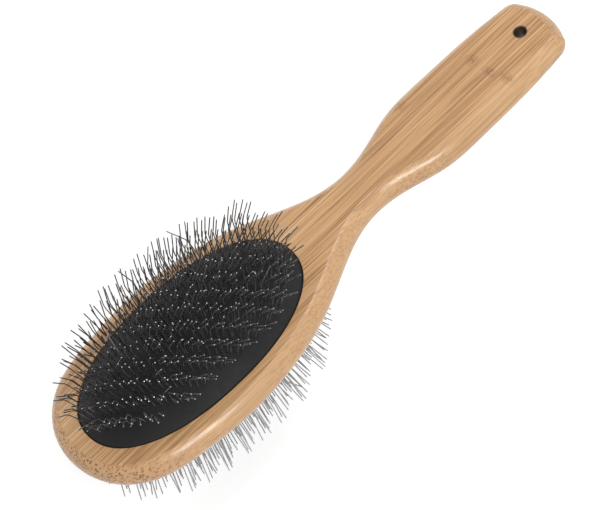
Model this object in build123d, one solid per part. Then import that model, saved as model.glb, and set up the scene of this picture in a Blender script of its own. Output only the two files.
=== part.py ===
from build123d import *
import math
import os

# Double-sided wire-pin grooming brush: a flat bamboo board with an oval cushion of bent steel pins in each face.
# The back cushion is the front one turned over end for end.

# Driving dimensions in mm. Heights are measured from the middle of the board, lengths from the head's tip.

# Bamboo board
brush_length = 230.0
board_thickness = 11.0
edge_round = 4.1
widest_at = 53.0
neck_at = 138.0
grip_at = 182.0
head_half_width = 33.2
neck_half_width = 9.6
grip_half_width = 16.5
end_half_width = 14.2
end_crown = 4.7
end_corner = 6.8

# Hanging hole
hole_radius = 2.25
hole_from_end = 12.4
hole_chamfer = 0.4

# Oval recess in each face, with an undercut that traps the cushion's bead
side_rim = 7.8
tip_rim = 9.6
recess_half_length = 47.4
recess_squareness = 2.19
web_thickness = 2.4
undercut_reach = 1.5
lip_height = 2.0

# Rubber cushion
dome_height = 7.3
dome_fullness = 0.65
rubber_thickness = 1.3
skirt_wall = 1.0
running_gap = 0.3

# Cloth foundation and foam behind the rubber
glue_line = 0.1
cloth_thickness = 1.0
cloth_edge = 0.4
foam_gap = 1.5
foam_inset = 1.5

# Wire staples: two legs, each with a knee, joined by a crown behind the cloth. The upper legs point knee_aim
# degrees from the board's length towards +X, and knee_swing degrees further for each mm beyond swing_from.
wire_radius = 0.21
pin_stand_out = 20.0
knee_share = 0.55
knee_bend = 26.0
knee_aim = 70.0
knee_swing = 1.4
swing_from = 10.0
pin_margin = 2.4
bare_side = 2.8
row_pitch = 7.7
row_slope = 1.22
staple_pitch = 1.45
crown_x = 0.15
crown_y = 1.75

# Values worked out from them
half_thickness = board_thickness / 2
tip_y = -brush_length / 2
recess_half_width = head_half_width - side_rim
recess_y = tip_y + tip_rim + recess_half_length
field_x = -bare_side / 2
field_half_width = recess_half_width - pin_margin - bare_side / 2
field_half_length = recess_half_length - pin_margin
floor_z = web_thickness / 2
groove_height = half_thickness - lip_height - floor_z
dome_depth = dome_height / (1 - math.sqrt(1 - dome_fullness**2))
cloth_drop = rubber_thickness + glue_line
crown_drop = cloth_drop + cloth_thickness + wire_radius + glue_line
OVAL_POINTS = 32


def board_outline():
    """One side of the board, from the head's tip to the handle's corner, as points (half width, distance)."""
    shoulder, handle, end = neck_at - widest_at, grip_at - neck_at, brush_length - grip_at
    flare, swell = head_half_width - neck_half_width, grip_half_width - neck_half_width
    head = [(0.515, 0.094), (0.792, 0.283), (0.955, 0.66), (1.0, 1.0)]
    neck = [(0.919, 0.259), (0.686, 0.494), (0.271, 0.729), (0.03, 0.906), (0.0, 1.0)]
    grip = [(0.377, 0.318), (0.87, 0.591), (1.0, 1.0)]
    points = [(0, 0)]
    points += [(head_half_width * w, widest_at * d) for w, d in head]
    points += [(neck_half_width + flare * w, widest_at + shoulder * d) for w, d in neck]
    points += [(neck_half_width + swell * w, neck_at + handle * d) for w, d in grip]
    points += [(grip_half_width * 0.97, grip_at + end * 0.48)]
    return points + [(end_half_width, brush_length - end_crown)]


def board_blank():
    """The board with its rounded edges, before the recesses and the hole."""
    right = [(w, tip_y + d) for w, d in board_outline()]
    left = [(-w, y) for w, y in reversed(right[1:])]
    sides = Spline(*left, *right)
    end = ThreePointArc(sides @ 1, (0, brush_length / 2), sides @ 0)
    flat = make_face(Curve() + [sides, end])
    corners = flat.vertices().sort_by(Axis.Y)[-2:]
    blank = extrude(fillet(corners, end_corner), amount=half_thickness, both=True)
    rims = blank.edges().group_by(Axis.Z)
    return fillet(rims[0] + rims[-1], min(edge_round, 0.45 * board_thickness))


def oval(grow, low, high):
    """Upright oval prism: the recess's outline moved outwards by grow, from height low to high."""
    half_x, half_y = recess_half_width + grow, recess_half_length + grow
    power = 2 / recess_squareness
    points = []
    for step in range(OVAL_POINTS):
        turn = 2 * math.pi * step / OVAL_POINTS
        across, along = math.cos(turn), math.sin(turn)
        x = math.copysign(abs(across) ** power, across) * half_x
        y = math.copysign(abs(along) ** power, along) * half_y
        points.append((x, recess_y + y, low))
    return extrude(make_face(Spline(*points, periodic=True)), amount=high - low, dir=(0, 0, 1))


def ball(drop):
    """The ellipsoid whose cap is the cushion's dome, lowered by drop."""
    half_x = recess_half_width / dome_fullness
    half_y = recess_half_length / dome_fullness
    whole = scale(Sphere(1), by=(half_x, half_y, dome_depth))
    return Pos(0, recess_y, half_thickness + dome_height - dome_depth - drop) * whole


def dome_level(x, y, drop=0.0):
    """Height of the dome, lowered by drop, at x across and y along from the recess's centre."""
    reach = (x / recess_half_width) ** 2 + (y / recess_half_length) ** 2
    rise = dome_depth * (math.sqrt(1 - reach * dome_fullness**2) - 1)
    return half_thickness + dome_height + rise - drop


def dome_normal(x, y):
    """Outward direction of the dome at x across and y along from the recess's centre."""
    up = (dome_level(x, y) - half_thickness - dome_height + dome_depth) / dome_depth**2
    side = dome_fullness**2
    return Vector(x * side / recess_half_width**2, y * side / recess_half_length**2, up).normalized()


def cushion():
    """Domed rubber with a skirt down the recess's wall and a bead under the lip."""
    top = half_thickness + dome_height + 1
    skin = oval(-running_gap, floor_z, top) & ball(0)
    bead = oval(undercut_reach - running_gap, floor_z, floor_z + groove_height - running_gap)
    hollow = oval(-running_gap - skirt_wall, floor_z - 1, top) & ball(rubber_thickness)
    return skin + bead - hollow


def foundation():
    """Domed cloth backing that holds the staples, just under the rubber."""
    sheet = oval(cloth_edge - pin_margin, floor_z, half_thickness + dome_height)
    return (sheet & ball(cloth_drop)) - ball(cloth_drop + cloth_thickness)


def foam():
    """Foam pad between the cloth and the recess's floor."""
    block = oval(-running_gap - skirt_wall - foam_inset, floor_z, half_thickness + dome_height)
    return block & ball(cloth_drop + cloth_thickness + foam_gap)


def knee_direction(y, out):
    """Direction square to a leg's lower part, out, in which its upper part bends at y along from the centre."""
    turn = math.radians(knee_aim + knee_swing * max(0, -y - swing_from))
    aim = Vector(math.sin(turn), math.cos(turn), 0)
    return (aim - out * out.dot(aim)).normalized()


def pin_points(x, y):
    """Foot, knee and tip of one leg that leaves the rubber at x across and y along from the recess's centre."""
    out = dome_normal(x, y)
    surface = Vector(x, recess_y + y, dome_level(x, y))
    foot = surface - out * crown_drop
    knee = surface + out * (pin_stand_out * knee_share)
    bend = math.radians(knee_bend)
    upper = out * math.cos(bend) + knee_direction(y, out) * math.sin(bend)
    return foot, knee, knee + upper * (pin_stand_out * (1 - knee_share))


def staple(x, y):
    """One staple whose crown is centred at x across and y along from the recess's centre."""
    first = pin_points(x - crown_x / 2, y - crown_y / 2)
    second = pin_points(x + crown_x / 2, y + crown_y / 2)
    path = Polyline(*reversed(first), *second)
    section = Plane(origin=path @ 0, z_dir=path % 0) * Circle(wire_radius)
    return sweep(section, path=path, transition=Transition.RIGHT)


def in_pin_field(x, y):
    """True where a leg stands on the cloth, clear of the margin and of the bare strip on the +X side."""
    across = abs(x - field_x) / field_half_width
    along = abs(y) / field_half_length
    return across**recess_squareness + along**recess_squareness < 1


def pin_rows():
    """Slanted rows of staples, each a list of solids."""
    row_count = int(math.hypot(field_half_width * row_slope, field_half_length) / row_pitch) + 1
    step_count = int(field_half_width / staple_pitch)
    rows = []
    for row in range(-row_count, row_count + 1):
        staples = []
        for step in range(-step_count, step_count + 1):
            x = field_x + step * staple_pitch
            y = row * row_pitch + x * row_slope
            legs = [(x + side * crown_x / 2, y + side * crown_y / 2) for side in (-1, 1)]
            if all(in_pin_field(*leg) for leg in legs):
                staples.append(staple(x, y))
        if staples:
            rows.append(staples)
    return rows


def board():
    """The bamboo board with both recesses and the hanging hole."""
    body = board_blank()
    hole_y = brush_length / 2 - hole_from_end
    pocket = oval(0, floor_z, half_thickness + 1)
    pocket += oval(undercut_reach, floor_z, floor_z + groove_height)
    body -= pocket
    body -= Rot(0, 180, 0) * pocket
    body -= Pos(0, hole_y, 0) * Cylinder(hole_radius, board_thickness)
    cone = Cone(hole_radius, hole_radius + hole_chamfer, hole_chamfer)
    for turn in (0, 180):
        body -= Pos(0, hole_y, 0) * Rot(0, turn, 0) * Pos(0, 0, half_thickness - hole_chamfer / 2) * cone
    return body


def main():
    os.makedirs("parts", exist_ok=True)
    export_step(board(), "parts/bamboo_board.step")
    pieces = {"cushion": cushion(), "foundation": foundation(), "foam": foam()}
    for number, staples in enumerate(pin_rows(), 1):
        pieces[f"pin_row_{number:02d}"] = Compound(children=staples)
    end_for_end = Pos(0, 2 * recess_y, 0) * Rot(180, 0, 0)
    for name, piece in pieces.items():
        export_step(piece, f"parts/front_{name}.step")
        export_step(end_for_end * piece, f"parts/back_{name}.step")


main()
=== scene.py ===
"""Double-sided wire-pin grooming brush: bamboo board, domed rubber cushions and bent steel pins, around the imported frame."""

import math

import bmesh
import bpy
import numpy as np
from mathutils import Matrix, Vector
from mathutils.geometry import tessellate_polygon


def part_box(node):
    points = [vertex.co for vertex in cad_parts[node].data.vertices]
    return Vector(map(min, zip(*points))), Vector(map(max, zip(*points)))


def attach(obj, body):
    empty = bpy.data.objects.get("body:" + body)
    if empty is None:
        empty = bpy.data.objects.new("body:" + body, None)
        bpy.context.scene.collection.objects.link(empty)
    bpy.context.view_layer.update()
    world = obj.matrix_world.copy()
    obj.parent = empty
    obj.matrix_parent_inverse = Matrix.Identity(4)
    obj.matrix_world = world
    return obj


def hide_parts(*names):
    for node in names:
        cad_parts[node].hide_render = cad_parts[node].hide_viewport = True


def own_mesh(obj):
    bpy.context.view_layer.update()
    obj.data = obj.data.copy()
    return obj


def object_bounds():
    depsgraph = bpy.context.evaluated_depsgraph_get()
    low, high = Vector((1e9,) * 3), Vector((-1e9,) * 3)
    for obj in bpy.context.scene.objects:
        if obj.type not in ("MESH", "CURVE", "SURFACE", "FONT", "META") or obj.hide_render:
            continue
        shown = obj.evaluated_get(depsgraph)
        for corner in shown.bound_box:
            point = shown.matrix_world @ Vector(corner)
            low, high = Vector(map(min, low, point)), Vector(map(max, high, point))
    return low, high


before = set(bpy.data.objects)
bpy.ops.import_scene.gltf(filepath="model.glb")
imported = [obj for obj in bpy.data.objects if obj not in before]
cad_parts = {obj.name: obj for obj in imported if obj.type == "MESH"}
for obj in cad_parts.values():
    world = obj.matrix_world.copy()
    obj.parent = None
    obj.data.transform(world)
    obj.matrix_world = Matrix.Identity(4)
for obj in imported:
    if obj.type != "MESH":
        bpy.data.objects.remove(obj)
cad_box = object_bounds()
scene = bpy.context.scene
MM = 0.001

# Sizes in metres. The frame gives the places: +Y runs from the head to the handle's end, +Z out of the front face.
board_low, board_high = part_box("bamboo_board")
cushion_low, cushion_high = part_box("front_cushion")
LENGTH = board_high.y - board_low.y
FACE = board_high.z
HEAD_HALF = board_high.x
SIDE_RIM = 7.8 * MM
TIP_RIM = 9.6 * MM
RECESS_X = HEAD_HALF - SIDE_RIM
RECESS_Y = 47.4 * MM
RECESS_AT = board_low.y + TIP_RIM + RECESS_Y
SQUARENESS = 2.19
FLOOR = cushion_low.z
LIP = 2.0 * MM
UNDERCUT = 1.5 * MM
DOME = cushion_high.z - FACE
FULLNESS = 0.65
DOME_DEPTH = DOME / (1 - math.sqrt(1 - FULLNESS**2))
RUBBER = 1.3 * MM
RUNNING_GAP = 0.3 * MM
SKIRT = 1.0 * MM
EDGE_IN = 4.1 * MM
FOAM_SOFT = 0.4 * MM
FOAM_SHARE = 0.9
HOLE_R = 2.25 * MM
HOLE_Y = board_high.y - 12.4 * MM
PORE = 0.85 * MM
# places of the culm's joints, in mm: across, along, half width and half length of each
CULM_NODES = ((10.5, 86, 4.5, 2.6), (3.5, 84, 4, 2.2), (-5, 83.5, 3.5, 3), (-12.5, 54.5, 3.5, 3), (21.5, -81, 3.5, 4))


def new_piece(name, verts, faces, material, smooth=True):
    """A mesh object at the origin from plain lists of points and faces."""
    mesh = bpy.data.meshes.new(name)
    mesh.from_pydata([tuple(v) for v in verts], [], [tuple(f) for f in faces])
    mesh.validate()
    obj = bpy.data.objects.new(name, mesh)
    scene.collection.objects.link(obj)
    mesh.materials.append(material)
    mesh.polygons.foreach_set("use_smooth", [smooth] * len(mesh.polygons))
    work = bmesh.new()
    work.from_mesh(mesh)
    bmesh.ops.remove_doubles(work, verts=work.verts, dist=1e-7)
    bmesh.ops.recalc_face_normals(work, faces=work.faces)
    work.to_mesh(mesh)
    work.free()
    return obj


def mark_sharp(obj, degrees):
    """Shades smooth except across edges sharper than the given angle."""
    obj.data.set_sharp_from_angle(angle=math.radians(degrees))


# ---------------------------------------------------------------- node helpers


class Tree:
    """Short forms for building a node tree."""

    def __init__(self, tree):
        self.tree = tree
        self.nodes = tree.nodes
        self.links = tree.links

    def add(self, kind, inputs=None, **settings):
        node = self.nodes.new(kind)
        for key, value in settings.items():
            setattr(node, key, value)
        for key, value in (inputs or {}).items():
            self.feed(node.inputs[key], value)
        return node

    def feed(self, socket, value):
        if isinstance(value, bpy.types.NodeSocket):
            self.links.new(value, socket)
        elif isinstance(value, bpy.types.Node):
            self.links.new(value.outputs[0], socket)
        else:
            socket.default_value = value

    def math(self, operation, a, b=0.0, c=0.0):
        node = self.add("ShaderNodeMath", operation=operation)
        for socket, value in zip(node.inputs, (a, b, c)):
            self.feed(socket, value)
        return node.outputs[0]

    def vector(self, operation, a, b=None):
        node = self.add("ShaderNodeVectorMath", operation=operation)
        self.feed(node.inputs[0], a)
        if b is not None:
            self.feed(node.inputs["Scale"] if operation == "SCALE" else node.inputs[1], b)
        return node.outputs["Value"] if operation in ("DOT_PRODUCT", "LENGTH") else node.outputs[0]

    def ramp(self, fac, stops, interpolation="LINEAR"):
        node = self.add("ShaderNodeValToRGB", {"Fac": fac})
        node.color_ramp.interpolation = interpolation
        elements = node.color_ramp.elements
        while len(elements) < len(stops):
            elements.new(0.5)
        for element, (place, colour) in zip(elements, stops):
            element.position = place
            element.color = colour if len(colour) == 4 else (*colour, 1)
        return node.outputs["Color"]

    def mix(self, fac, a, b, blend="MIX"):
        node = self.add("ShaderNodeMix", data_type="RGBA", blend_type=blend)
        self.feed(node.inputs["Factor"], fac)
        self.feed(node.inputs[6], a)
        self.feed(node.inputs[7], b)
        return node.outputs[2]

    def spread(self, value, low, high, to_low=0.0, to_high=1.0):
        node = self.add("ShaderNodeMapRange")
        for socket, v in zip(node.inputs, (value, low, high, to_low, to_high)):
            self.feed(socket, v)
        return node.outputs[0]

    def noise(self, vector, scale, detail=2.0, rough=0.5, lacunarity=2.0):
        node = self.add("ShaderNodeTexNoise", {"Vector": vector, "Scale": scale, "Detail": detail, "Roughness": rough})
        return node.outputs["Fac"]


def group(name, inputs, outputs):
    """An empty shader node group with named sockets, and its input and output nodes."""
    tree = bpy.data.node_groups.new(name, "ShaderNodeTree")
    for label, kind, default in inputs:
        socket = tree.interface.new_socket(label, in_out="INPUT", socket_type=kind)
        if default is not None:
            socket.default_value = default
    for label, kind in outputs:
        tree.interface.new_socket(label, in_out="OUTPUT", socket_type=kind)
    build = Tree(tree)
    return build, build.add("NodeGroupInput"), build.add("NodeGroupOutput")


def material(name, **values):
    """A material with a Principled shader whose plain values are set on its own sockets."""
    made = bpy.data.materials.new(name)
    made.use_nodes = True
    build = Tree(made.node_tree)
    shader = next(n for n in build.nodes if n.type == "BSDF_PRINCIPLED")
    for key, value in values.items():
        shader.inputs[key.replace("_", " ")].default_value = value
    return made, build, shader


# ---------------------------------------------------------------- materials


def streaks(build, axes, sway, width, length, detail):
    """Noise drawn out along the fibres: width and length are those of one streak."""
    across = build.math("ADD", axes["X"], sway)
    lane = build.add(
        "ShaderNodeCombineXYZ",
        {
            "X": build.math("DIVIDE", across, width),
            "Y": build.math("DIVIDE", axes["Y"], length),
            "Z": build.math("DIVIDE", axes["Z"], width),
        },
    )
    return build.noise(lane.outputs[0], 1.0, detail, 0.6)


def culm_nodes(build, axes, place):
    """Speckled darker patches where the strips were cut through a joint of the bamboo."""
    speckle = build.spread(build.noise(build.vector("MULTIPLY", place, (1500, 700, 1500)), 1.0, 2.0), 0.40, 0.66)
    total = 0.0
    for x, y, wide, long in CULM_NODES:
        dx = build.math("DIVIDE", build.math("SUBTRACT", axes["X"], x * MM), wide * MM)
        dy = build.math("DIVIDE", build.math("SUBTRACT", axes["Y"], y * MM), long * MM)
        reach = build.math("SQRT", build.math("ADD", build.math("POWER", dx, 2.0), build.math("POWER", dy, 2.0)))
        total = build.math("MAXIMUM", total, build.spread(reach, 0.2, 1.0, 1.0, 0.0))
    return build.math("MULTIPLY", total, build.math("MULTIPLY_ADD", speckle, 0.8, 0.2))


def wear_group():
    """Edge wear and handling: where an edge is rubbed, and a mottle of noise."""
    build, given, out = group(
        "edge_wear", [("Reach", "NodeSocketFloat", 0.6), ("Grain", "NodeSocketFloat", 900.0)], [("Rubbed", "NodeSocketFloat"), ("Mottle", "NodeSocketFloat")]
    )
    shape = build.add("ShaderNodeNewGeometry")
    place = build.add("ShaderNodeTexCoord").outputs["Object"]
    mottle = build.noise(build.vector("SCALE", place, given.outputs["Grain"]), 1.0, 3.0)
    edge = build.spread(shape.outputs["Pointiness"], 0.5, 0.56)
    build.feed(out.inputs["Rubbed"], build.math("MULTIPLY", build.math("MULTIPLY", edge, mottle), given.outputs["Reach"]))
    build.feed(out.inputs["Mottle"], mottle)
    return build.tree


def bamboo_material(wear):
    """Lacquered side-pressed bamboo: fine dark fibres, paler strips, end-grain dots, the marks of the culm's joints,
    and painted shade in the hanging hole's bore.
    """
    made, build, shader = material("lacquered_bamboo", Coat_Weight=0.45, Coat_Roughness=0.2, Specular_IOR_Level=0.4)
    place = build.add("ShaderNodeTexCoord").outputs["Object"]
    axes = build.add("ShaderNodeSeparateXYZ", {"Vector": place}).outputs
    sway = build.noise(build.vector("MULTIPLY", place, (25, 14, 25)), 1.0, 1.0)
    sway = build.math("MULTIPLY", build.math("SUBTRACT", sway, 0.5), 1.6 * MM)
    fine = streaks(build, axes, sway, 0.36 * MM, 30 * MM, 1.0)
    coarse = streaks(build, axes, sway, 1.3 * MM, 90 * MM, 2.0)
    strip = streaks(build, axes, 0.0, 5.5 * MM, 400 * MM, 1.0)
    tone = build.math("MULTIPLY_ADD", fine, 0.5, build.math("MULTIPLY_ADD", coarse, 0.34, build.math("MULTIPLY", strip, 0.16)))
    face = build.ramp(
        tone,
        [(0.36, (0.24, 0.10, 0.031)), (0.45, (0.42, 0.212, 0.080)), (0.51, (0.56, 0.315, 0.135)), (0.62, (0.70, 0.43, 0.21))],
    )
    cloud = build.noise(build.vector("MULTIPLY", place, (45, 18, 45)), 1.0, 2.0)
    face = build.mix(build.spread(cloud, 0.42, 0.75, 0.0, 0.35), face, (0.42, 0.22, 0.09, 1))
    face = build.mix(build.math("MULTIPLY", culm_nodes(build, axes, place), 0.95), face, (0.24, 0.10, 0.035, 1))

    # where the surface turns away from the face, the fibres are cut across and show as flecks and dots
    turned = build.add("ShaderNodeSeparateXYZ", {"Vector": build.add("ShaderNodeTexCoord").outputs["Normal"]}).outputs
    off_face = build.spread(build.math("ABSOLUTE", turned["Z"]), 0.97, 0.80)
    end_on = build.math("MULTIPLY", off_face, build.spread(build.math("ABSOLUTE", turned["Y"]), 0.08, 0.45))
    cells = build.add(
        "ShaderNodeTexVoronoi",
        {"Vector": build.vector("MULTIPLY", place, (1 / PORE, 0.45 / PORE, 1 / PORE)), "Scale": 1.0, "Randomness": 0.9},
    )
    pore = build.spread(cells.outputs["Distance"], 0.26, 0.52, 1.0, 0.0)
    patchy = build.spread(build.noise(place, 260.0, 2.0), 0.35, 0.6, 0.55, 1.0)
    side = build.mix(build.math("MULTIPLY", off_face, 0.45), face, (0.66, 0.41, 0.21, 1))
    side = build.mix(build.math("MULTIPLY", end_on, 0.6), side, (0.60, 0.355, 0.175, 1))
    dots = build.math("MULTIPLY", build.math("MULTIPLY", pore, patchy), build.math("POWER", end_on, 0.5))
    towards_tip = build.spread(turned["Y"], 0.1, -0.5, 0.3, 1.0)
    dots = build.math("MULTIPLY", dots, towards_tip)
    side = build.mix(dots, side, (0.20, 0.055, 0.018, 1))

    worn = build.add("ShaderNodeGroup", node_tree=wear)
    colour = build.mix(build.math("MULTIPLY", worn.outputs["Rubbed"], 0.35), side, (0.72, 0.50, 0.29, 1))
    # painted shade: the hanging hole's bore and the rounded rim of its mouth are darkened to near black, standing in
    # for the shade inside the hole
    bored = build.vector("LENGTH", build.add("ShaderNodeCombineXYZ", {"X": axes["X"], "Y": build.math("SUBTRACT", axes["Y"], HOLE_Y)}))
    painted_bore_shade = build.math("MULTIPLY", build.spread(bored, HOLE_R + 0.7 * MM, HOLE_R + 0.1 * MM), 0.93)
    colour = build.mix(painted_bore_shade, colour, (0.02, 0.008, 0.004, 1))
    build.feed(shader.inputs["Base Color"], colour)
    build.feed(shader.inputs["Roughness"], build.spread(tone, 0.35, 0.65, 0.5, 0.36))
    height = build.math("SUBTRACT", tone, build.math("MULTIPLY", dots, 0.8))
    build.feed(shader.inputs["Normal"], build.add("ShaderNodeBump", {"Height": height, "Strength": 0.3, "Distance": 0.25 * MM}))
    return made


def rubber_material(wear):
    made, build, shader = material("cushion_rubber", Specular_IOR_Level=0.22, Sheen_Weight=0.03, Sheen_Roughness=0.4)
    place = build.add("ShaderNodeTexCoord").outputs["Object"]
    worn = build.add("ShaderNodeGroup", {"Grain": 500.0}, node_tree=wear)
    cloudy = build.noise(place, 90.0, 3.0)
    colour = build.ramp(cloudy, [(0.3, (0.0075, 0.0075, 0.008)), (0.75, (0.013, 0.013, 0.0135))])
    build.feed(shader.inputs["Base Color"], build.mix(worn.outputs["Rubbed"], colour, (0.03, 0.03, 0.03, 1)))
    build.feed(shader.inputs["Roughness"], build.spread(worn.outputs["Mottle"], 0.2, 0.8, 0.5, 0.66))
    pebble = build.noise(place, 2600.0, 2.0)
    build.feed(shader.inputs["Normal"], build.add("ShaderNodeBump", {"Height": pebble, "Strength": 0.25, "Distance": 0.00012}))
    return made


def steel_material():
    made, build, shader = material("pin_steel", Metallic=1.0)
    place = build.add("ShaderNodeTexCoord").outputs["Object"]
    drawn = build.noise(build.vector("MULTIPLY", place, (900, 900, 60)), 1.0, 2.0)
    build.feed(shader.inputs["Base Color"], build.ramp(drawn, [(0.3, (0.22, 0.22, 0.225)), (0.7, (0.38, 0.38, 0.385))]))
    build.feed(shader.inputs["Roughness"], build.spread(drawn, 0.3, 0.7, 0.36, 0.52))
    return made


def cloth_material():
    made, build, shader = material("foundation_cloth", Sheen_Weight=0.2, Roughness=0.9)
    place = build.add("ShaderNodeTexCoord").outputs["Object"]
    axes = build.add("ShaderNodeSeparateXYZ", {"Vector": place})
    warp = build.math("SINE", build.math("MULTIPLY", axes.outputs["X"], 9000.0))
    weft = build.math("SINE", build.math("MULTIPLY", axes.outputs["Y"], 9000.0))
    weave = build.math("MULTIPLY", warp, weft)
    build.feed(shader.inputs["Base Color"], build.ramp(build.spread(weave, -1, 1), [(0.2, (0.06, 0.058, 0.055)), (0.8, (0.12, 0.118, 0.11))]))
    build.feed(shader.inputs["Normal"], build.add("ShaderNodeBump", {"Height": weave, "Strength": 0.5, "Distance": 0.0001}))
    return made


def foam_material():
    made, build, shader = material("foam_pad", Roughness=0.95)
    place = build.add("ShaderNodeTexCoord").outputs["Object"]
    cells = build.add("ShaderNodeTexVoronoi", {"Vector": place, "Scale": 1400.0})
    build.feed(shader.inputs["Base Color"], build.ramp(cells.outputs["Distance"], [(0.1, (0.16, 0.16, 0.165)), (0.7, (0.34, 0.34, 0.345))]))
    build.feed(shader.inputs["Normal"], build.add("ShaderNodeBump", {"Height": cells.outputs["Distance"], "Strength": 0.6, "Distance": 0.0003}))
    return made


# ---------------------------------------------------------------- board


def board_side():
    """One side of the board as points (half width, distance from the head's tip), in the part's own proportions."""
    widest_at, neck_at, grip_at = 53.0 * MM, 138.0 * MM, 182.0 * MM
    neck, grip, end = 9.6 * MM, 16.5 * MM, 14.2 * MM
    crown = 4.7 * MM
    points = [(HEAD_HALF * w, widest_at * d) for w, d in ((0.515, 0.094), (0.792, 0.283), (0.955, 0.66), (1.0, 1.0))]
    for w, d in ((0.919, 0.259), (0.686, 0.494), (0.271, 0.729), (0.03, 0.906), (0.0, 1.0)):
        points.append((neck + (HEAD_HALF - neck) * w, widest_at + (neck_at - widest_at) * d))
    for w, d in ((0.377, 0.318), (0.87, 0.591), (1.0, 1.0)):
        points.append((neck + (grip - neck) * w, neck_at + (grip_at - neck_at) * d))
    points.append((grip * 0.97, grip_at + (LENGTH - grip_at) * 0.48))
    points.append((end, LENGTH - crown))
    return points


def natural_spline(points, steps):
    """Cubic spline through points, by chord length, sampled evenly in its parameter."""
    p = np.array(points)
    t = np.concatenate([[0], np.cumsum(np.linalg.norm(np.diff(p, axis=0), axis=1))])
    n, h = len(p), np.diff(t)
    a = np.zeros((n, n))
    b = np.zeros((n, 2))
    a[0, 0] = a[-1, -1] = 1
    for i in range(1, n - 1):
        a[i, i - 1 : i + 2] = h[i - 1], 2 * (h[i - 1] + h[i]), h[i]
        b[i] = 6 * ((p[i + 1] - p[i]) / h[i] - (p[i] - p[i - 1]) / h[i - 1])
    m = np.linalg.solve(a, b)
    u = np.linspace(0, t[-1], steps)
    k = np.clip(np.searchsorted(t, u, side="right") - 1, 0, n - 2)
    left, right, hk = (t[k + 1] - u)[:, None], (u - t[k])[:, None], h[k][:, None]
    return (
        m[k] * left**3 / (6 * hk)
        + m[k + 1] * right**3 / (6 * hk)
        + (p[k] / hk - m[k] * hk / 6) * left
        + (p[k + 1] / hk - m[k + 1] * hk / 6) * right
    )


def round_corner(before, corner, after, radius, steps):
    """Points of the arc that rounds a corner between two straight directions."""
    to_a, to_b = (before - corner).normalized(), (after - corner).normalized()
    half = to_a.angle(to_b) / 2
    reach = radius / math.tan(half)
    centre = corner + (to_a + to_b).normalized() * (radius / math.sin(half))
    start, stop = corner + to_a * reach - centre, corner + to_b * reach - centre
    turn = math.pi - 2 * half
    out = []
    for i in range(steps + 1):
        f = i / steps
        out.append(centre + (start * math.sin((1 - f) * turn) + stop * math.sin(f * turn)) / math.sin(turn))
    return out


def board_outline(steps=260):
    """Closed outline of the board, anticlockwise from the handle's end, as (point, outward normal) pairs."""
    side = board_side()
    whole = [(-w, d) for w, d in reversed(side)] + [(0.0, 0.0)] + side
    curve = natural_spline(whole, steps * 2 + 1)
    half = [Vector(p) for p in curve[steps:]]
    corner_radius = 6.8 * MM
    half_w, half_y = half[-1].x, half[-1].y
    crown = LENGTH - half_y
    arc_radius = (half_w**2 + crown**2) / (2 * crown)
    centre_y = LENGTH - arc_radius
    span = math.asin(half_w / arc_radius)
    arc = [Vector((arc_radius * math.sin(span * (1 - i / 60)), centre_y + arc_radius * math.cos(span * (1 - i / 60)))) for i in range(61)]
    rounded = round_corner(half[-6], half[-1], arc[3], corner_radius, 24)
    keep_side = [p for p in half if p.y < rounded[0].y - 0.2 * MM]
    keep_arc = [p for p in arc if p.x < rounded[-1].x - 0.2 * MM]
    right = keep_side + rounded + keep_arc
    right = [Vector((p.x, p.y + board_low.y)) for p in right]
    left = [Vector((-p.x, p.y)) for p in reversed(right[1:-1])]
    loop = resample(right + left, 640)
    normals = []
    for i, p in enumerate(loop):
        along = loop[(i + 1) % len(loop)] - loop[i - 1]
        normals.append(Vector((along.y, -along.x)).normalized())
    return loop, normals


def resample(loop, count):
    """The closed loop again, with count points evenly spaced."""
    pts = np.array([tuple(p) for p in loop] + [tuple(loop[0])])
    reach = np.concatenate([[0], np.cumsum(np.linalg.norm(np.diff(pts, axis=0), axis=1))])
    at = np.linspace(0, reach[-1], count, endpoint=False)
    return [Vector((np.interp(s, reach, pts[:, 0]), np.interp(s, reach, pts[:, 1]))) for s in at]


def oval(grow, count=200):
    """The recess's outline moved outwards by grow, as points in the board's plane."""
    power = 2 / SQUARENESS
    points = []
    for i in range(count):
        c, s = math.cos(2 * math.pi * i / count), math.sin(2 * math.pi * i / count)
        x = math.copysign(abs(c) ** power, c) * (RECESS_X + grow)
        y = math.copysign(abs(s) ** power, s) * (RECESS_Y + grow)
        points.append(Vector((x, RECESS_AT + y)))
    return points


def circle(radius, count=48):
    return [Vector((radius * math.cos(2 * math.pi * i / count), HOLE_Y + radius * math.sin(2 * math.pi * i / count))) for i in range(count)]


class Shell:
    """Collects rings of points and the faces between them."""

    def __init__(self):
        self.verts, self.faces = [], []

    def ring(self, points, z):
        start = len(self.verts)
        heights = z if isinstance(z, (list, tuple)) else [z] * len(points)
        self.verts += [(p.x, p.y, h) for p, h in zip(points, heights)]
        return list(range(start, start + len(points)))

    def wall(self, lower, upper):
        n = len(lower)
        self.faces += [(lower[i], lower[(i + 1) % n], upper[(i + 1) % n], upper[i]) for i in range(n)]

    def cover(self, rings):
        """Fills a flat area whose first ring is its outside and whose other rings are holes."""
        flat = [[Vector((self.verts[i][0], self.verts[i][1], 0)) for i in ring] for ring in rings]
        names = [i for ring in rings for i in ring]
        self.faces += [tuple(names[i] for i in face) for face in tessellate_polygon(flat)]


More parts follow.
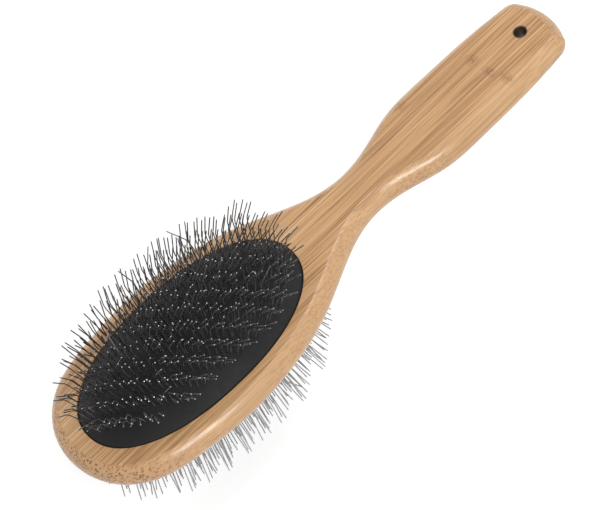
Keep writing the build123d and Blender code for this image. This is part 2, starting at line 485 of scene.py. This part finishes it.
def board(bamboo):
    """The bamboo board: crowned edge all round, an undercut recess in each face, and the hanging hole."""
    loop, normals = board_outline()
    shell = Shell()
    start = math.radians(64)
    levels = [start - 2 * start * i / 22 for i in range(23)]
    full = math.sin(start)
    rings = []
    for angle in levels:
        inset = EDGE_IN * (1 - math.cos(angle)) / (1 - math.cos(start))
        points = [p - n * inset for p, n in zip(loop, normals)]
        rings.append(shell.ring(points, FACE * math.sin(angle) / full))
    for upper, lower in zip(rings, rings[1:]):
        shell.wall(lower, upper)
    hole_soft = 0.45 * MM
    hole_rings = [shell.ring(circle(HOLE_R + hole_soft), FACE)]
    for i in range(1, 5):
        a = math.pi / 2 * i / 4
        hole_rings.append(shell.ring(circle(HOLE_R + hole_soft * (1 - math.sin(a))), FACE - hole_soft * (1 - math.cos(a))))
    for i in range(4, 0, -1):
        a = math.pi / 2 * i / 4
        hole_rings.append(shell.ring(circle(HOLE_R + hole_soft * (1 - math.sin(a))), -FACE + hole_soft * (1 - math.cos(a))))
    hole_rings.append(shell.ring(circle(HOLE_R + hole_soft), -FACE))
    for upper, lower in zip(hole_rings, hole_rings[1:]):
        shell.wall(upper, lower)
    for side in (1, -1):
        rim = 0.25 * MM
        pocket = [
            shell.ring(oval(rim), side * FACE),
            shell.ring(oval(rim * 0.3), side * (FACE - rim * 0.3)),
            shell.ring(oval(0), side * (FACE - rim)),
            shell.ring(oval(0), side * (FACE - LIP)),
            shell.ring(oval(UNDERCUT), side * (FACE - LIP)),
            shell.ring(oval(UNDERCUT), side * FLOOR),
        ]
        for upper, lower in zip(pocket, pocket[1:]):
            shell.wall(upper, lower)
        shell.cover([pocket[-1]])
        outer = rings[0] if side == 1 else rings[-1]
        mouth = hole_rings[0] if side == 1 else hole_rings[-1]
        shell.cover([outer, pocket[0], mouth])
    obj = new_piece("bamboo_body", shell.verts, shell.faces, bamboo)
    mark_sharp(obj, 12)
    return obj


# ---------------------------------------------------------------- cushions


def dome_height(x, y, drop=0.0):
    """Height of the dome, lowered by drop, at x across and y along from the recess's centre."""
    reach = (x / RECESS_X) ** 2 + (y / RECESS_Y) ** 2
    return FACE + DOME + DOME_DEPTH * (math.sqrt(max(1 - reach * FULLNESS**2, 0)) - 1) - drop


def cushion(side, rubber):
    """Domed rubber with a skirt down the recess's wall and a bead under its lip."""
    shell = Shell()
    count = 200
    outline = [p - Vector((0, RECESS_AT)) for p in oval(-RUNNING_GAP, count)]
    middle = Vector((0, RECESS_AT))

    def level(share, drop):
        pts = [p * share for p in outline]
        return pts, [dome_height(p.x, p.y, drop) for p in pts]

    outside = []
    for i in range(40, 0, -1):
        pts, heights = level(i / 40, 0.0)
        outside.append((pts, heights))
    rounding = 0.5 * MM
    edge_pts, edge_heights = outside[0]
    rings = []
    bead_top = FLOOR + (FACE - LIP - FLOOR) - RUNNING_GAP
    bead = [p - middle for p in oval(UNDERCUT - RUNNING_GAP, count)]
    skirt_in = [p - middle for p in oval(-RUNNING_GAP - SKIRT, count)]
    rings.append(shell.ring([p + middle for p in skirt_in], FLOOR))
    rings.append(shell.ring([p + middle for p in bead], FLOOR))
    rings.append(shell.ring([p + middle for p in bead], bead_top))
    rings.append(shell.ring([p + middle for p in edge_pts], bead_top))
    rings.append(shell.ring([p + middle for p in edge_pts], [h - rounding for h in edge_heights]))
    soft = [p * (1 - 0.15 * rounding / RECESS_X) for p in edge_pts]
    rings.append(shell.ring([p + middle for p in soft], [h - rounding * 0.3 for h in edge_heights]))
    for pts, heights in [level(1 - rounding / RECESS_X, 0.0)] + outside[1:]:
        rings.append(shell.ring([p + middle for p in pts], heights))
    inner = []
    top = (RECESS_X - RUNNING_GAP - SKIRT) / (RECESS_X - RUNNING_GAP)
    for i in range(1, 31):
        pts, heights = level(top * i / 30, RUBBER)
        inner.append(shell.ring([p + middle for p in pts], heights))
    for lower, upper in zip(rings, rings[1:]):
        shell.wall(lower, upper)
    for upper, lower in zip(inner, inner[1:]):
        shell.wall(upper, lower)
    shell.wall(inner[-1], rings[0])
    shell.faces.append(tuple(rings[-1]))
    shell.faces.append(tuple(reversed(inner[0])))
    verts = [(x, y, z) for x, y, z in shell.verts]
    if side == "back":
        verts = [(x, 2 * RECESS_AT - y, -z) for x, y, z in verts]
    obj = new_piece(f"{side}_rubber_cushion", verts, shell.faces, rubber)
    mark_sharp(obj, 40)
    return obj


def foam_pad(side, foam):
    """Foam block that fills the space from the recess's floor to the cloth, with soft lower and upper corners."""
    shell = Shell()
    low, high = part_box(f"{side}_foam")
    thick = high.z - low.z
    sign = 1 if side == "front" else -1
    half_x, half_y = (high.x - low.x) / 2 * FOAM_SHARE, (high.y - low.y) / 2 * FOAM_SHARE
    middle = Vector((0, RECESS_AT))
    base = FLOOR + FOAM_SOFT
    reach = [p - middle for p in oval(0)]
    sized = [Vector((p.x / RECESS_X * half_x, p.y / RECESS_Y * half_y)) for p in reach]
    lid = FLOOR + thick

    def crown(p, share):
        """Height of the pad's top, which keeps the same distance below the dome all over."""
        return min(dome_height(p.x * share, p.y * share) - FACE - DOME + lid, lid)

    rings = [shell.ring([p * 0.985 + middle for p in sized], FLOOR)]
    rings.append(shell.ring([p + middle for p in sized], base))
    rings.append(shell.ring([p + middle for p in sized], [crown(p, 1) - FOAM_SOFT for p in sized]))
    for i in range(30, 0, -1):
        share = i / 30 * 0.985
        rings.append(shell.ring([p * share + middle for p in sized], [crown(p, share) for p in sized]))
    for lower, upper in zip(rings, rings[1:]):
        shell.wall(lower, upper)
    shell.faces.append(tuple(rings[-1]))
    shell.faces.append(tuple(reversed(rings[0])))
    verts = shell.verts if sign == 1 else [(x, 2 * RECESS_AT - y, -z) for x, y, z in shell.verts]
    obj = new_piece(f"{side}_foam_block", verts, shell.faces, foam)
    mark_sharp(obj, 40)
    return obj


# ---------------------------------------------------------------- pins


WIRE = 0.21 * MM
STAND_OUT = 20.0 * MM
KNEE_SHARE = 0.55
KNEE_BEND = math.radians(26)
KNEE_AIM = math.radians(70)
KNEE_SWING = math.radians(1.4) / MM
SWING_FROM = 10.0 * MM
PIN_MARGIN = 2.4 * MM
BARE_SIDE = 2.8 * MM
ROW_PITCH = 7.7 * MM
ROW_SLOPE = 1.22
STAPLE_PITCH = 1.45 * MM
CROWN = (0.15 * MM, 1.75 * MM)
CROWN_DROP = 2.71 * MM


def value_input(tree, label, kind, default):
    socket = tree.interface.new_socket(label, in_out="INPUT", socket_type=kind)
    if default is not None:
        socket.default_value = default
    return socket.identifier


PIN_SIZES = (
    ("Wire Radius", WIRE), ("Stand Out", STAND_OUT), ("Knee Share", KNEE_SHARE), ("Knee Bend", KNEE_BEND),
    ("Knee Aim", KNEE_AIM), ("Knee Swing", KNEE_SWING), ("Swing From", SWING_FROM), ("Half Width", RECESS_X),
    ("Half Length", RECESS_Y), ("Margin", PIN_MARGIN), ("Bare Side", BARE_SIDE), ("Row Pitch", ROW_PITCH),
    ("Row Slope", ROW_SLOPE), ("Staple Pitch", STAPLE_PITCH), ("Crown X", CROWN[0]), ("Crown Y", CROWN[1]),
    ("Face Height", FACE), ("Dome Height", DOME), ("Dome Depth", DOME_DEPTH), ("Fullness", FULLNESS),
    ("Squareness", SQUARENESS), ("Crown Drop", CROWN_DROP), ("Lean Play", 0.035), ("Aim Play", 0.2),
)


def dome_fields(g, given, x, y):
    """Height and outward direction of the dome under fields x and y."""
    full = g.math("POWER", given["Fullness"], 2.0)
    over_x = g.math("DIVIDE", x, g.math("POWER", given["Half Width"], 2.0))
    over_y = g.math("DIVIDE", y, g.math("POWER", given["Half Length"], 2.0))
    reach = g.math("ADD", g.math("MULTIPLY", x, over_x), g.math("MULTIPLY", y, over_y))
    root = g.math("SQRT", g.math("SUBTRACT", 1.0, g.math("MULTIPLY", reach, full)))
    top = g.math("ADD", given["Face Height"], given["Dome Height"])
    height = g.math("MULTIPLY_ADD", g.math("SUBTRACT", root, 1.0), given["Dome Depth"], top)
    sides = {"X": g.math("MULTIPLY", over_x, full), "Y": g.math("MULTIPLY", over_y, full)}
    out = g.add("ShaderNodeCombineXYZ", {**sides, "Z": g.math("DIVIDE", root, given["Dome Depth"])})
    return height, g.vector("NORMALIZE", out.outputs[0])


def leg_wire(g, given, ring):
    """One leg along +Z from behind the cloth, with its upper part bent towards +Y."""
    below = g.math("MULTIPLY", given["Crown Drop"], -1.0)
    knee = g.math("MULTIPLY", given["Stand Out"], given["Knee Share"])
    share = g.add("GeometryNodeSplineParameter").outputs["Factor"]
    run = g.math("MULTIPLY_ADD", share, g.math("ADD", given["Stand Out"], given["Crown Drop"]), below)
    past = g.math("MAXIMUM", g.math("SUBTRACT", run, knee), 0.0)
    lean = g.math("MULTIPLY", past, g.math("SINE", given["Knee Bend"]))
    rise = g.math("MULTIPLY_ADD", past, g.math("COSINE", given["Knee Bend"]), g.math("MINIMUM", run, knee))
    line = g.add("GeometryNodeResampleCurve", {"Curve": g.add("GeometryNodeCurvePrimitiveLine").outputs[0], "Count": 12})
    path = g.add("ShaderNodeCombineXYZ", {"Y": lean, "Z": rise})
    shaped = g.add("GeometryNodeSetPosition", {"Geometry": line.outputs[0], "Position": path.outputs[0]})
    wire = {"Curve": shaped.outputs[0], "Profile Curve": ring.outputs[0], "Fill Caps": True}
    return g.add("GeometryNodeCurveToMesh", wire).outputs[0]


def pin_field_tree():
    """Slanted rows of staples on the dome: each is a pair of kneed legs and a crown behind the cloth."""
    tree = bpy.data.node_groups.new("pin_field", "GeometryNodeTree")
    tree.interface.new_socket("Geometry", in_out="OUTPUT", socket_type="NodeSocketGeometry")
    ids = {label: value_input(tree, label, "NodeSocketFloat", size) for label, size in PIN_SIZES}
    ids["Seed"] = value_input(tree, "Seed", "NodeSocketInt", 3)
    ids["Steel"] = value_input(tree, "Steel", "NodeSocketMaterial", None)
    g = Tree(tree)
    given = g.add("NodeGroupInput").outputs
    rows, steps = 17, 31
    grid = g.add("GeometryNodeMeshGrid", {"Size X": rows - 1, "Size Y": steps - 1, "Vertices X": rows, "Vertices Y": steps})
    spot = g.add("ShaderNodeSeparateXYZ", {"Vector": g.add("GeometryNodeInputPosition")}).outputs
    field_x = g.math("MULTIPLY", given["Bare Side"], -0.5)
    centre_x = g.math("MULTIPLY_ADD", spot["Y"], given["Staple Pitch"], field_x)
    slant = g.math("MULTIPLY", centre_x, given["Row Slope"])
    centre_y = g.math("MULTIPLY_ADD", spot["X"], given["Row Pitch"], slant)
    half_x = g.math("ADD", g.math("SUBTRACT", given["Half Width"], given["Margin"]), field_x)
    half_y = g.math("SUBTRACT", given["Half Length"], given["Margin"])

    def leg_spot(side):
        """Where the leg on one side of each staple leaves the rubber."""
        return (
            g.math("MULTIPLY_ADD", given["Crown X"], side / 2, centre_x),
            g.math("MULTIPLY_ADD", given["Crown Y"], side / 2, centre_y),
        )

    outside = 0.0
    for side in (-1, 1):
        x, y = leg_spot(side)
        across = g.math("DIVIDE", g.math("ABSOLUTE", g.math("SUBTRACT", x, field_x)), half_x)
        along = g.math("DIVIDE", g.math("ABSOLUTE", y), half_y)
        reach = g.math("ADD", g.math("POWER", across, given["Squareness"]), g.math("POWER", along, given["Squareness"]))
        outside = g.math("MAXIMUM", outside, g.math("GREATER_THAN", reach, 1.0))
    points = g.add("GeometryNodeMeshToPoints", {"Mesh": grid.outputs["Mesh"]})
    staples = g.add("GeometryNodeDeleteGeometry", {"Geometry": points.outputs[0], "Selection": outside}, domain="POINT")
    ring = g.add("GeometryNodeCurvePrimitiveCircle", {"Resolution": 6, "Radius": given["Wire Radius"]})
    leg = leg_wire(g, given, ring)
    number = g.add("GeometryNodeInputIndex").outputs[0]
    pieces = []
    for side in (-1, 1):
        x, y = leg_spot(side)
        height, out = dome_fields(g, given, x, y)
        seed = g.math("ADD", given["Seed"], 2 + side)

        def play(name, low, high, offset):
            """A number from low to high for each leg, times a named size."""
            chance = g.add("FunctionNodeRandomValue", {"ID": number, "Seed": g.math("ADD", seed, offset)}, data_type="FLOAT")
            chance.inputs[2].default_value, chance.inputs[3].default_value = low, high
            return g.math("MULTIPLY", chance.outputs[1], given[name]) if name else chance.outputs[1]

        loose = g.math("ADD", 1.0, g.math("MULTIPLY", g.math("POWER", play(None, 0, 1, 10), 30.0), 9.0))
        tilt = g.add("ShaderNodeCombineXYZ", {"X": play("Lean Play", -1, 1, 20), "Y": play("Lean Play", -1, 1, 30)})
        out = g.vector("NORMALIZE", g.vector("ADD", out, g.vector("SCALE", tilt.outputs[0], loose)))
        past = g.math("MAXIMUM", g.math("SUBTRACT", g.math("MULTIPLY", y, -1.0), given["Swing From"]), 0.0)
        turn = g.math("MULTIPLY_ADD", past, given["Knee Swing"], given["Knee Aim"])
        turn = g.math("ADD", turn, g.math("MULTIPLY", play("Aim Play", -1, 1, 40), loose))
        aim = g.add("ShaderNodeCombineXYZ", {"X": g.math("SINE", turn), "Y": g.math("COSINE", turn)})
        facing = g.add("FunctionNodeAxesToRotation", primary_axis="Z", secondary_axis="Y")
        g.feed(facing.inputs[0], out)
        g.feed(facing.inputs[1], aim.outputs[0])
        place = g.add("ShaderNodeCombineXYZ", {"X": x, "Y": y, "Z": height})
        # the turn is kept with each staple before it moves, because it is worked out from the staple's own place
        kept = g.add(
            "GeometryNodeStoreNamedAttribute",
            {"Geometry": staples.outputs[0], "Name": "facing", "Value": facing.outputs[0]},
            data_type="QUATERNION", domain="POINT",
        )
        moved = g.add("GeometryNodeSetPosition", {"Geometry": kept.outputs[0], "Position": place.outputs[0]})
        recalled = g.add("GeometryNodeInputNamedAttribute", {"Name": "facing"}, data_type="QUATERNION")
        pieces.append(
            g.add(
                "GeometryNodeInstanceOnPoints",
                {"Points": moved.outputs[0], "Instance": leg, "Rotation": recalled.outputs[0]},
            ).outputs[0]
        )

    height, out = dome_fields(g, given, centre_x, centre_y)
    top = g.add("ShaderNodeCombineXYZ", {"X": centre_x, "Y": centre_y, "Z": height})
    sunk = g.vector("SUBTRACT", top.outputs[0], g.vector("SCALE", out, given["Crown Drop"]))
    half = g.add("ShaderNodeCombineXYZ", {"X": g.math("MULTIPLY", given["Crown X"], 0.5), "Y": g.math("MULTIPLY", given["Crown Y"], 0.5)})
    across = g.add("GeometryNodeCurvePrimitiveLine", {"Start": g.vector("SCALE", half.outputs[0], -1.0), "End": half.outputs[0]})
    crown = g.add("GeometryNodeCurveToMesh", {"Curve": across.outputs[0], "Profile Curve": ring.outputs[0], "Fill Caps": True})
    behind = g.add("GeometryNodeSetPosition", {"Geometry": staples.outputs[0], "Position": sunk})
    pieces.append(g.add("GeometryNodeInstanceOnPoints", {"Points": behind.outputs[0], "Instance": crown.outputs[0]}).outputs[0])

    joined = g.add("GeometryNodeJoinGeometry")
    for piece in pieces:
        g.links.new(piece, joined.inputs[0])
    real = g.add("GeometryNodeRealizeInstances", {"Geometry": joined.outputs[0]})
    smooth = g.add("GeometryNodeSetShadeSmooth", {"Geometry": real.outputs[0]})
    steel = g.add("GeometryNodeSetMaterial", {"Geometry": smooth.outputs[0], "Material": given["Steel"]})
    g.links.new(steel.outputs[0], g.add("NodeGroupOutput").inputs[0])
    return tree, ids


def pin_field(side, tree, ids, steel, seed):
    """One face's pins as a plain mesh, set in place on its cushion."""
    host = bpy.data.objects.new(f"{side}_field", bpy.data.meshes.new(f"{side}_field"))
    scene.collection.objects.link(host)
    modifier = host.modifiers.new("pins", "NODES")
    modifier.node_group = tree
    modifier[ids["Seed"]] = seed
    modifier[ids["Steel"]] = steel
    bpy.context.view_layer.update()
    solid = host.evaluated_get(bpy.context.evaluated_depsgraph_get())
    mesh = bpy.data.meshes.new_from_object(solid)
    host.modifiers.remove(modifier)
    bpy.data.objects.remove(host)
    mesh.transform(Matrix.Translation((0, RECESS_AT, 0)))
    if side == "back":
        mesh.transform(Matrix.Translation((0, 2 * RECESS_AT, 0)) @ Matrix.Rotation(math.pi, 4, "X"))
    obj = bpy.data.objects.new(f"{side}_pins", mesh)
    scene.collection.objects.link(obj)
    if not mesh.materials:
        mesh.materials.append(steel)
    for attribute in list(mesh.attributes):
        if attribute.name == "facing":
            mesh.attributes.remove(attribute)
    return obj


# ---------------------------------------------------------------- studio


def camera():
    view = bpy.data.cameras.new("camera")
    view.lens, view.sensor_width, view.clip_end = 205.2, 36.0, 20.0
    obj = bpy.data.objects.new("camera", view)
    scene.collection.objects.link(obj)
    azimuth, elevation, roll = math.radians(68.93), math.radians(55.27), math.radians(-25.74)
    back = Vector((math.sin(azimuth) * math.cos(elevation), -math.cos(azimuth) * math.cos(elevation), math.sin(elevation)))
    aim = Vector((1.26, -8.62, 0.0)) * MM
    distance = 1178.3 * MM
    obj.matrix_world = Matrix.Translation(aim + back * distance) @ back.to_track_quat("Z", "Y").to_matrix().to_4x4() @ Matrix.Rotation(roll, 4, "Z")
    scene.camera = obj


def soft_light(name, place, size, watts, aim=(0, -0.02, 0)):
    lamp = bpy.data.lights.new(name, "AREA")
    lamp.shape, lamp.size, lamp.energy = "DISK", size, watts
    obj = bpy.data.objects.new(name, lamp)
    scene.collection.objects.link(obj)
    obj.location = place
    obj.rotation_euler = (Vector(place) - Vector(aim)).to_track_quat("Z", "Y").to_euler()


AMBIENT = 0.42
FLOOR_DROP = 20 * MM


def studio():
    world = bpy.data.worlds.new("studio") if not scene.world else scene.world
    scene.world = world
    world.use_nodes = True
    build = Tree(world.node_tree)
    for node in list(build.nodes):
        build.nodes.remove(node)
    rays = build.add("ShaderNodeLightPath")
    shown = build.math("MAXIMUM", rays.outputs["Is Camera Ray"], build.math("MAXIMUM", rays.outputs["Is Glossy Ray"], rays.outputs["Is Transmission Ray"]))
    strength = build.math("MULTIPLY_ADD", shown, 1 - AMBIENT, AMBIENT)
    sky = build.add("ShaderNodeBackground", {"Color": (1, 1, 1, 1), "Strength": strength})
    build.links.new(sky.outputs[0], build.add("ShaderNodeOutputWorld").inputs[0])
    soft_light("key", (0.75, -0.1, 0.75), 0.35, 5.0)
    soft_light("top", (0.1, 0.5, 0.9), 0.5, 2.6)
    soft_light("back", (-0.7, -0.1, 0.5), 0.5, 1.6)
    scene.view_settings.view_transform = "Standard"


def floor():
    """A plain pale floor under the pins, white to the eye except where the brush shades it."""
    low = cad_box[0].z - FLOOR_DROP
    size = 1.6
    verts = [(-size, -size, low), (size, -size, low), (size, size, low), (-size, size, low)]
    made, build, shader = material("floor", Roughness=0.9, Base_Color=(0.8, 0.8, 0.8, 1), Emission_Color=(1, 1, 1, 1))
    rays = build.add("ShaderNodeLightPath").outputs
    shown = build.math("MAXIMUM", rays["Is Camera Ray"], build.math("MAXIMUM", rays["Is Glossy Ray"], rays["Is Transmission Ray"]))
    build.feed(shader.inputs["Emission Strength"], build.math("MULTIPLY", shown, 0.45))
    obj = new_piece("floor", verts, [(0, 1, 2, 3)], made, smooth=False)


def main():
    camera()
    studio()
    floor()
    wear = wear_group()
    bamboo, rubber, steel = bamboo_material(wear), rubber_material(wear), steel_material()
    cloth, foam = cloth_material(), foam_material()
    body = board(bamboo)
    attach(body, "board")
    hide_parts("bamboo_board")
    tree, ids = pin_field_tree()
    for side, sign in (("front", 1), ("back", -1)):
        pad = cushion(side, rubber)
        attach(pad, "board")
        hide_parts(f"{side}_cushion")
        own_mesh(pad)
        pins = pin_field(side, tree, ids, steel, 3 if sign == 1 else 11)
        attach(pins, f"{side}_pin_pad")
        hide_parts(*[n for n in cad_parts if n.startswith(f"{side}_pin_row")])
        block = foam_pad(side, foam)
        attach(block, "board")
        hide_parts(f"{side}_foam")
        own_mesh(block)
        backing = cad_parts[f"{side}_foundation"]
        backing.data.materials.clear()
        backing.data.materials.append(cloth)


main()
